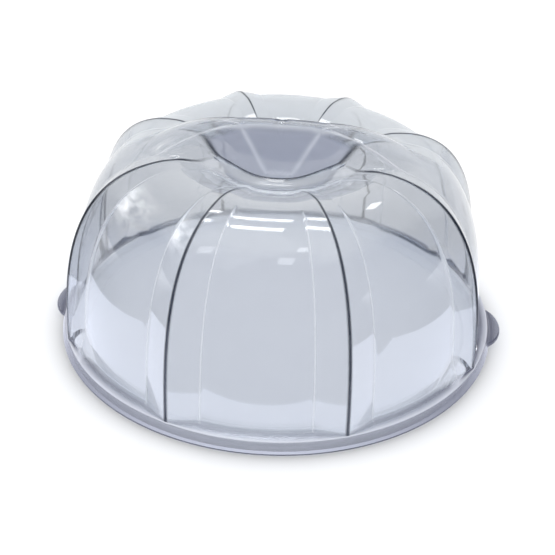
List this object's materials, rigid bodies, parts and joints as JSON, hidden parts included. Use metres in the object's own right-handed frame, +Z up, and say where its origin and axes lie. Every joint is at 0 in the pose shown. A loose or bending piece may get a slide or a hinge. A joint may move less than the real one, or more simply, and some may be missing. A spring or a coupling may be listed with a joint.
{
  "type": "humidity dome tray",
  "caption": "Shallow round white tray under a clear fluted dome cover with a moulded carrying handle, finger pockets and lift tabs; the cover lifts straight off the tray.",
  "frame": {"origin": "centre of the tray's flat underside, on the plane the tray stands on", "axes": "+Z up along the round body's axis; X along the carrying handle, through both lift tabs; the front pocket faces -Y"},
  "size_m": [0.3472, 0.33, 0.1694],
  "materials": {
    "dome_cover": "clear smoky blue-grey moulded plastic, polished on both faces",
    "base_tray": "white gloss moulded plastic; assumed, as the tray can't be made out through the cover"
  },
  "bodies": {
    "tray": {"base_tray": "base_tray"},
    "cover": {"dome_cover": "dome_cover"}
  },
  "joints": [
    {"name": "lift_off", "type": "slide", "parent": "tray", "child": "cover", "axis": [0, 0, 1], "range_m": [0, 0.2]}
  ]
}
